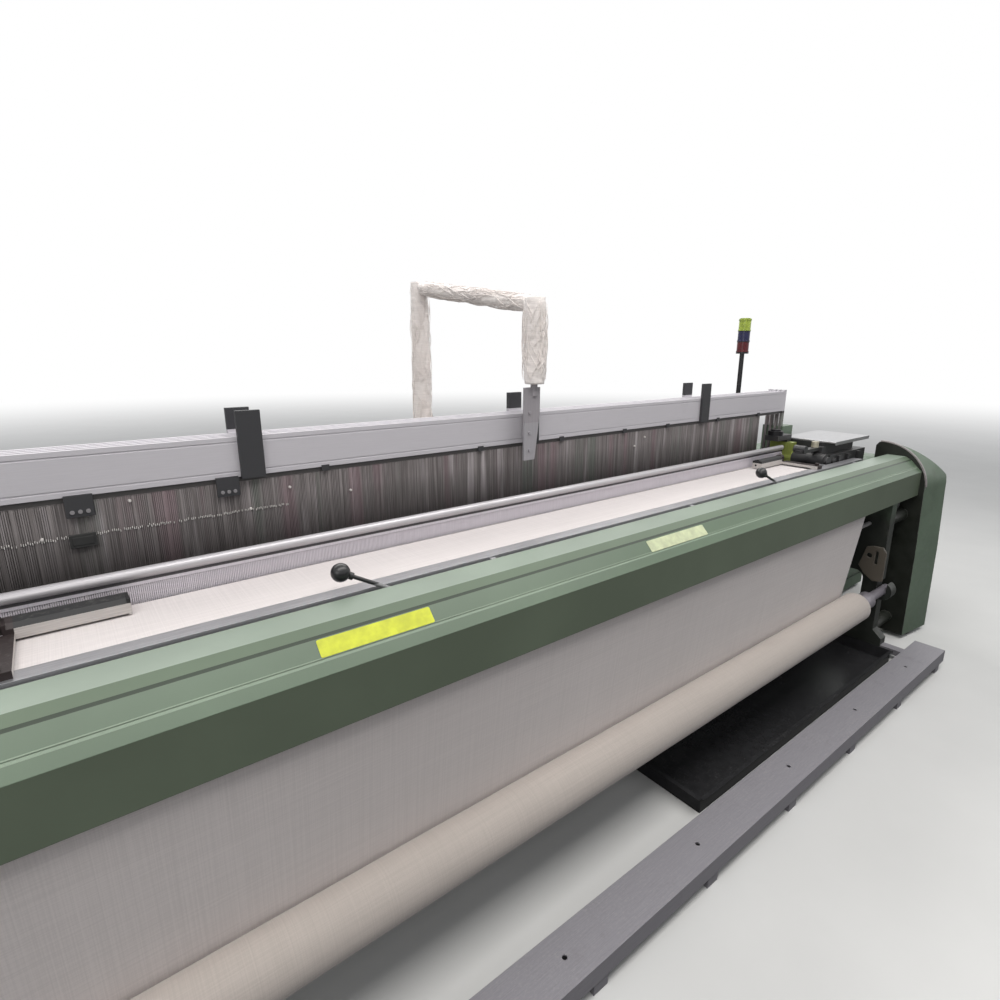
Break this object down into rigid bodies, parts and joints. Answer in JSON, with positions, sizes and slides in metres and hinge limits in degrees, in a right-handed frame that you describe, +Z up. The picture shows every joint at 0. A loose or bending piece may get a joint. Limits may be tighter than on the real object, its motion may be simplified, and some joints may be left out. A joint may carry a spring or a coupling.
{
  "type": "power loom",
  "caption": "Wide projectile weaving machine with a green front beam, reed and sley, heald frames, warp beam, cloth roll and receiving unit.",
  "frame": {"origin": "on the floor under the middle of the machine's outer box", "axes": "+X along the machine to its right end seen from the cloth side, +Y to the warp side, +Z up"},
  "size_m": [5.8, 2.4999, 1.8416],
  "materials": {
    "green_paint": "satin, worn",
    "light_green_paint": "satin, worn",
    "dark_green_paint": "satin",
    "grey_steel": "brushed",
    "galvanised": "matt grey",
    "alloy": "satin",
    "black_rubber": "matt",
    "black_plastic": "matt",
    "dark_iron": "oily",
    "cloth": "plain greige cloth",
    "warp": "fine yarn sheet",
    "yarn": "fluffy wound yarn",
    "tower": "lens stack",
    "grey_paint": "satin",
    "green_button": "gloss",
    "red_button": "gloss"
  },
  "bodies": {
    "root": {"side_frame_left": "green_paint", "side_frame_right": "green_paint", "cross_girder": "dark_green_paint", "cross_ties": "green_paint", "levelling_feet": "black_rubber", "front_cover": "light_green_paint", "breast_bar": "grey_steel", "end_cheek_left": "green_paint", "end_cheek_right": "green_paint", "step_rail": "galvanised", "floor_tray": "black_plastic", "cloth_sheet": "cloth", "warp_sheet": "warp", "sley_gearboxes": "green_paint", "temple_housings": "grey_steel", "yarn_gantry": "alloy", "gantry_yarn": "yarn", "signal_tower": "tower", "receiver_unit": "dark_iron", "picking_unit": "green_paint", "shedding_box": "green_paint", "drive_motor": "dark_green_paint", "drive_belt": "black_rubber", "control_cabinet": "grey_paint", "weft_creel": "green_paint", "weft_packages": "yarn", "weft_feeders": "black_plastic", "stop_motion": "grey_steel", "letoff_unit": "green_paint"},
    "sley": {"sley_shaft": "grey_steel", "sley_beam": "alloy", "reed": "alloy", "guide_teeth": "grey_steel"},
    "projectile": {"projectile": "grey_steel"},
    "drive": {"main_shaft": "grey_steel", "handwheel": "black_plastic"},
    "motor_pulley": {"motor_pulley": "grey_steel"},
    "heald_1": {"heald_frame_1": "alloy"},
    "heald_2": {"heald_frame_2": "alloy"},
    "heald_3": {"heald_frame_3": "alloy"},
    "heald_4": {"heald_frame_4": "alloy"},
    "lever_odd_left": {"lever_odd_left": "grey_steel"},
    "lever_odd_right": {"lever_odd_right": "grey_steel"},
    "lever_even_left": {"lever_even_left": "grey_steel"},
    "lever_even_right": {"lever_even_right": "grey_steel"},
    "pull_rod_odd": {"pull_rod_odd": "grey_steel"},
    "pull_rod_even": {"pull_rod_even": "grey_steel"},
    "takeup": {"takeup_roller": "black_rubber"},
    "press": {"press_roller": "grey_steel"},
    "cloth_roll": {"cloth_roll": "cloth"},
    "warp_beam": {"warp_beam": "alloy", "warp_yarn": "warp"},
    "whip_roll": {"whip_roll": "grey_steel"},
    "start_shaft": {"start_shaft": "black_plastic"},
    "receiver_lid": {"receiver_lid": "grey_steel"},
    "cabinet_door": {"cabinet_door": "grey_paint"},
    "start_button": {"start_button": "green_button"},
    "stop_button": {"stop_button": "red_button"},
    "temple_left": {"temple_roller_left": "black_rubber"},
    "temple_right": {"temple_roller_right": "black_rubber"}
  },
  "joints": [
    {"name": "sley_rock", "type": "hinge", "parent": "root", "child": "sley", "pos_m": [0, -0.44, 0.82], "axis": [1, 0, 0], "range_deg": [-22, 0]},
    {"name": "projectile_slide", "type": "slide", "parent": "sley", "child": "projectile", "axis": [1, 0, 0], "range_m": [0, 3.14]},
    {"name": "main_shaft_turn", "type": "hinge", "parent": "root", "child": "drive", "pos_m": [0, -0.46, 0.69], "axis": [1, 0, 0], "continuous": true},
    {"name": "motor_turn", "type": "hinge", "parent": "root", "child": "motor_pulley", "pos_m": [2.06, 0.2, 0.48], "axis": [1, 0, 0], "continuous": true},
    {"name": "heald_1_lift", "type": "slide", "parent": "root", "child": "heald_1", "axis": [0, 0, 1], "range_m": [-0.035, 0.035]},
    {"name": "heald_2_lift", "type": "slide", "parent": "root", "child": "heald_2", "axis": [0, 0, 1], "range_m": [-0.035, 0.035]},
    {"name": "heald_3_lift", "type": "slide", "parent": "root", "child": "heald_3", "axis": [0, 0, 1], "range_m": [-0.035, 0.035]},
    {"name": "heald_4_lift", "type": "slide", "parent": "root", "child": "heald_4", "axis": [0, 0, 1], "range_m": [-0.035, 0.035]},
    {"name": "lever_odd_left_turn", "type": "hinge", "parent": "root", "child": "lever_odd_left", "pos_m": [-1.15, -0.338, 0.52], "axis": [0, 1, 0], "range_deg": [-20.2, 20.2]},
    {"name": "lever_odd_right_turn", "type": "hinge", "parent": "root", "child": "lever_odd_right", "pos_m": [1.05, -0.338, 0.52], "axis": [0, 1, 0], "range_deg": [-20.2, 20.2]},
    {"name": "lever_even_left_turn", "type": "hinge", "parent": "root", "child": "lever_even_left", "pos_m": [-1.45, -0.338, 0.52], "axis": [0, 1, 0], "range_deg": [-20.2, 20.2]},
    {"name": "lever_even_right_turn", "type": "hinge", "parent": "root", "child": "lever_even_right", "pos_m": [1.35, -0.338, 0.52], "axis": [0, 1, 0], "range_deg": [-20.2, 20.2]},
    {"name": "pull_rod_odd_slide", "type": "slide", "parent": "root", "child": "pull_rod_odd", "axis": [1, 0, 0], "range_m": [-0.035, 0.035]},
    {"name": "pull_rod_even_slide", "type": "slide", "parent": "root", "child": "pull_rod_even", "axis": [1, 0, 0], "range_m": [-0.035, 0.035]},
    {"name": "takeup_turn", "type": "hinge", "parent": "root", "child": "takeup", "pos_m": [0, -0.846, 0.88], "axis": [1, 0, 0], "continuous": true},
    {"name": "press_turn", "type": "hinge", "parent": "root", "child": "press", "pos_m": [0, -0.931, 0.88], "axis": [1, 0, 0], "continuous": true},
    {"name": "cloth_roll_turn", "type": "hinge", "parent": "root", "child": "cloth_roll", "pos_m": [0, -0.963, 0.35], "axis": [1, 0, 0], "continuous": true},
    {"name": "warp_beam_turn", "type": "hinge", "parent": "root", "child": "warp_beam", "pos_m": [0, 0.87, 0.6], "axis": [1, 0, 0], "continuous": true},
    {"name": "whip_roll_turn", "type": "hinge", "parent": "root", "child": "whip_roll", "pos_m": [0, 0.56, 0.9397], "axis": [1, 0, 0], "continuous": true},
    {"name": "start_shaft_turn", "type": "hinge", "parent": "root", "child": "start_shaft", "pos_m": [0, -0.776, 0.992], "axis": [1, 0, 0], "range_deg": [-10, 30]},
    {"name": "receiver_lid_open", "type": "hinge", "parent": "root", "child": "receiver_lid", "pos_m": [1.925, -0.421, 1.094], "axis": [1, 0, 0], "range_deg": [-85, 0]},
    {"name": "cabinet_door_open", "type": "hinge", "parent": "root", "child": "cabinet_door", "pos_m": [-2.882, 0.37, 0.62], "axis": [0, 0, 1], "range_deg": [-110, 0]},
    {"name": "start_button_press", "type": "slide", "parent": "root", "child": "start_button", "axis": [0, 0, -1], "range_m": [0, 0.004], "stiffness_N_per_m": 600, "springref_m": -0.001},
    {"name": "stop_button_press", "type": "slide", "parent": "root", "child": "stop_button", "axis": [0, 0, -1], "range_m": [0, 0.004], "stiffness_N_per_m": 600, "springref_m": -0.001},
    {"name": "temple_left_turn", "type": "hinge", "parent": "root", "child": "temple_left", "pos_m": [-1.39, -0.548, 1.019], "axis": [1, 0, 0], "continuous": true},
    {"name": "temple_right_turn", "type": "hinge", "parent": "root", "child": "temple_right", "pos_m": [1.39, -0.548, 1.019], "axis": [1, 0, 0], "continuous": true}
  ],
  "couplings": [
    {"joint": "motor_turn", "follows": "main_shaft_turn", "ratio": 2.8571},
    {"joint": "heald_2_lift", "follows": "heald_1_lift", "ratio": -1},
    {"joint": "heald_3_lift", "follows": "heald_1_lift", "ratio": 1},
    {"joint": "heald_4_lift", "follows": "heald_1_lift", "ratio": -1},
    {"joint": "lever_odd_left_turn", "follows": "heald_1_lift", "rad_per_m": -10},
    {"joint": "lever_odd_right_turn", "follows": "heald_1_lift", "rad_per_m": -10},
    {"joint": "lever_even_left_turn", "follows": "heald_1_lift", "rad_per_m": 10},
    {"joint": "lever_even_right_turn", "follows": "heald_1_lift", "rad_per_m": 10},
    {"joint": "pull_rod_odd_slide", "follows": "heald_1_lift", "ratio": 1},
    {"joint": "pull_rod_even_slide", "follows": "heald_1_lift", "ratio": -1},
    {"joint": "press_turn", "follows": "takeup_turn", "ratio": -2.7273},
    {"joint": "cloth_roll_turn", "follows": "takeup_turn", "ratio": 0.85714}
  ]
}
